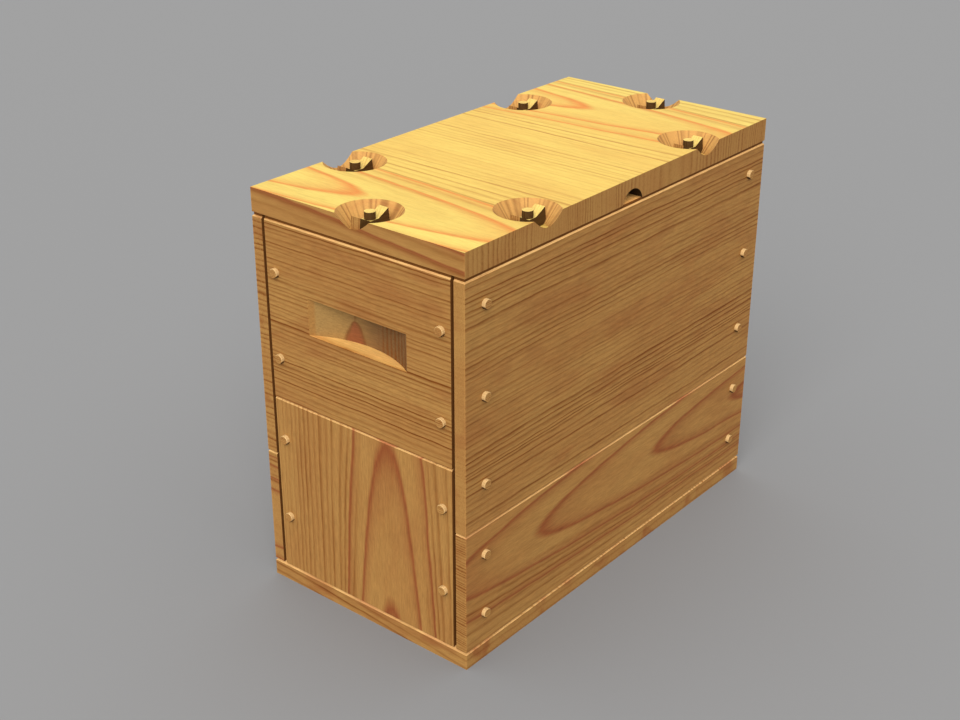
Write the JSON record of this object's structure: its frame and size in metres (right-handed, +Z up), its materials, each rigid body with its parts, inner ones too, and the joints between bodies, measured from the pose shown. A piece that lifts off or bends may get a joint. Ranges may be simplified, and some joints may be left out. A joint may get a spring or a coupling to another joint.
{
  "type": "beehive box",
  "caption": "Pine hive box for a small bee colony: pegged thick walls, hand-holds, a lid held by wing nuts in finger recesses, an arched entrance and hanging frames.",
  "frame": {"origin": "middle of the underside of the floor board", "axes": "+Z up, +Y along the box towards its back end, +X across it towards the side with the entrance"},
  "size_m": [0.2922, 0.5508, 0.4666],
  "materials": {
    "pine_board": "planed, oiled pine",
    "pine_lid": "planed, oiled pine",
    "peg_wood": "sanded",
    "nut_wood": "sanded",
    "frame_wood": "sawn",
    "beeswax": "embossed wax",
    "steel": "zinc plated"
  },
  "bodies": {
    "root": {"floor_board": "pine_board", "right_side_lower": "pine_board", "right_side_upper": "pine_board", "left_side_lower": "pine_board", "left_side_upper": "pine_board", "front_end_lower": "pine_board", "front_end_upper": "pine_board", "back_end_lower": "pine_board", "back_end_upper": "pine_board", "right_pegs": "peg_wood", "left_pegs": "peg_wood", "front_pegs": "peg_wood", "back_pegs": "peg_wood", "floor_screws": "steel", "lid_studs": "steel"},
    "lid": {"lid": "pine_lid"},
    "wing_nut_front": {"wing_nut_front": "nut_wood"},
    "wing_nut_back": {"wing_nut_back": "nut_wood"},
    "wing_nut_right_front": {"wing_nut_right_front": "nut_wood"},
    "wing_nut_right_back": {"wing_nut_right_back": "nut_wood"},
    "wing_nut_left_front": {"wing_nut_left_front": "nut_wood"},
    "wing_nut_left_back": {"wing_nut_left_back": "nut_wood"},
    "frame_1": {"frame_1_top_bar": "frame_wood", "frame_1_end_bars": "frame_wood", "frame_1_bottom_bar": "frame_wood", "frame_1_sheet": "beeswax"},
    "frame_2": {"frame_2_top_bar": "frame_wood", "frame_2_end_bars": "frame_wood", "frame_2_bottom_bar": "frame_wood", "frame_2_sheet": "beeswax"},
    "frame_3": {"frame_3_top_bar": "frame_wood", "frame_3_end_bars": "frame_wood", "frame_3_bottom_bar": "frame_wood", "frame_3_sheet": "beeswax"},
    "frame_4": {"frame_4_top_bar": "frame_wood", "frame_4_end_bars": "frame_wood", "frame_4_bottom_bar": "frame_wood", "frame_4_sheet": "beeswax"},
    "frame_5": {"frame_5_top_bar": "frame_wood", "frame_5_end_bars": "frame_wood", "frame_5_bottom_bar": "frame_wood", "frame_5_sheet": "beeswax"}
  },
  "joints": [
    {"name": "lid_lift", "type": "slide", "parent": "root", "child": "lid", "axis": [0, 0, 1], "range_m": [0, 0.56]},
    {"name": "wing_nut_front_turn", "type": "hinge", "parent": "lid", "child": "wing_nut_front", "pos_m": [0, -0.24565, 0.4556], "axis": [0, 0, 1], "continuous": true},
    {"name": "wing_nut_back_turn", "type": "hinge", "parent": "lid", "child": "wing_nut_back", "pos_m": [0, 0.24565, 0.4556], "axis": [0, 0, 1], "continuous": true},
    {"name": "wing_nut_right_front_turn", "type": "hinge", "parent": "lid", "child": "wing_nut_right_front", "pos_m": [0.11625, -0.1451, 0.4556], "axis": [0, 0, 1], "continuous": true},
    {"name": "wing_nut_right_back_turn", "type": "hinge", "parent": "lid", "child": "wing_nut_right_back", "pos_m": [0.11625, 0.1451, 0.4556], "axis": [0, 0, 1], "continuous": true},
    {"name": "wing_nut_left_front_turn", "type": "hinge", "parent": "lid", "child": "wing_nut_left_front", "pos_m": [-0.11625, -0.1451, 0.4556], "axis": [0, 0, 1], "continuous": true},
    {"name": "wing_nut_left_back_turn", "type": "hinge", "parent": "lid", "child": "wing_nut_left_back", "pos_m": [-0.11625, 0.1451, 0.4556], "axis": [0, 0, 1], "continuous": true},
    {"name": "frame_1_lift", "type": "slide", "parent": "root", "child": "frame_1", "axis": [0, 0, 1], "range_m": [0, 0.252]},
    {"name": "frame_2_lift", "type": "slide", "parent": "root", "child": "frame_2", "axis": [0, 0, 1], "range_m": [0, 0.252]},
    {"name": "frame_3_lift", "type": "slide", "parent": "root", "child": "frame_3", "axis": [0, 0, 1], "range_m": [0, 0.252]},
    {"name": "frame_4_lift", "type": "slide", "parent": "root", "child": "frame_4", "axis": [0, 0, 1], "range_m": [0, 0.252]},
    {"name": "frame_5_lift", "type": "slide", "parent": "root", "child": "frame_5", "axis": [0, 0, 1], "range_m": [0, 0.252]}
  ],
  "couplings": [
    {"joint": "frame_1_lift", "follows": "lid_lift", "ratio": 0.45},
    {"joint": "frame_2_lift", "follows": "lid_lift", "ratio": 0.45},
    {"joint": "frame_3_lift", "follows": "lid_lift", "ratio": 0.45},
    {"joint": "frame_4_lift", "follows": "lid_lift", "ratio": 0.45},
    {"joint": "frame_5_lift", "follows": "lid_lift", "ratio": 0.45}
  ]
}
